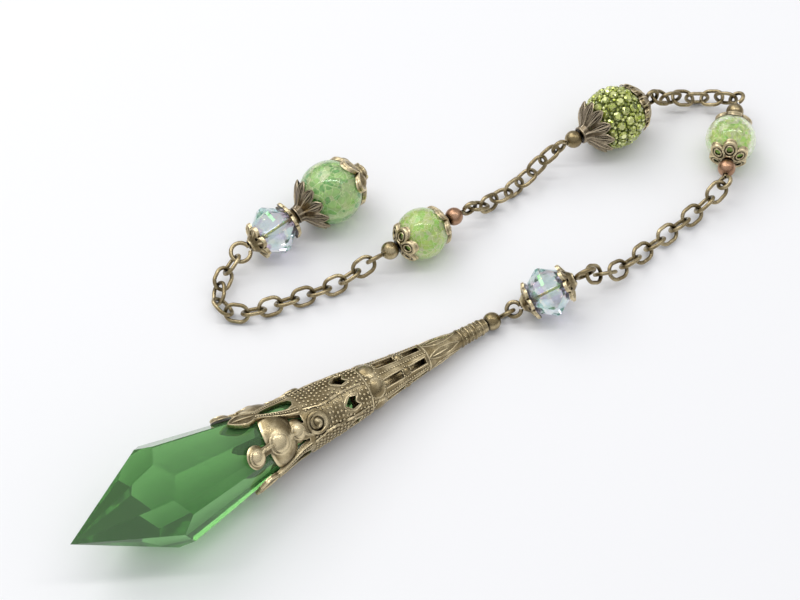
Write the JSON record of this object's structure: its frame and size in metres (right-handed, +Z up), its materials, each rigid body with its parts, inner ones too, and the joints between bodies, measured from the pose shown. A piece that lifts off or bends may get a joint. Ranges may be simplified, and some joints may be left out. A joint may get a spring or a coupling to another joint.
{
  "type": "pendulum pendant",
  "caption": "Pendulum pendant with a faceted green crystal point in a pierced filigree cone, a cable chain with capped crackle, stone-set and faceted glass beads, and a bead to hold.",
  "frame": {"origin": "on the surface it lies on, under the middle of its bounding box", "axes": "+X to the right along its longest extent, +Y away from the viewer, +Z up"},
  "size_m": [0.1008, 0.0868, 0.015],
  "materials": {
    "green_crystal": "polished cut glass, clear green",
    "crackle_glass": "polished crackle glass, light yellow-green",
    "deep_crackle_glass": "polished crackle glass, deep green",
    "clear_glass": "cut glass with a faint violet and yellow coating",
    "peridot_stones": "cut glass stones, foiled olive green",
    "dark_clay": "matt dark olive clay",
    "bronze": "antique bronze, dark in the recesses and worn bright on the high spots",
    "dark_bronze": "dark antique bronze",
    "copper_bronze": "reddish copper, lightly aged"
  },
  "bodies": {
    "root": {"crystal_point": "green_crystal", "filigree_cone": "bronze", "cone_ball": "bronze", "cone_pin": "bronze", "rondelle_1": "clear_glass", "rondelle_1_cap_a": "bronze", "rondelle_1_cap_b": "bronze", "rondelle_1_pin": "bronze", "chain_a": "bronze", "crackle_1": "crackle_glass", "crackle_1_cap_a": "bronze", "crackle_1_cap_b": "bronze", "crackle_1_spacer_a": "copper_bronze", "crackle_1_spacer_b": "bronze", "crackle_1_pin": "bronze", "chain_b": "bronze", "pave_bead": "dark_clay", "pave_stones": "peridot_stones", "pave_leafy_cap": "dark_bronze", "pave_ribbed_cap": "bronze", "pave_spacer": "bronze", "pave_pin": "bronze", "chain_c": "bronze", "crackle_2": "crackle_glass", "crackle_2_cap_a": "bronze", "crackle_2_cap_b": "bronze", "crackle_2_spacer_a": "bronze", "crackle_2_spacer_b": "copper_bronze", "crackle_2_pin": "bronze", "chain_d": "bronze", "rondelle_2": "clear_glass", "rondelle_2_cap_a": "bronze", "rondelle_2_cap_b": "bronze", "crackle_big": "deep_crackle_glass", "crackle_big_leafy_cap": "dark_bronze", "crackle_big_end_cap": "bronze", "end_pin": "bronze"}
  },
  "joints": []
}
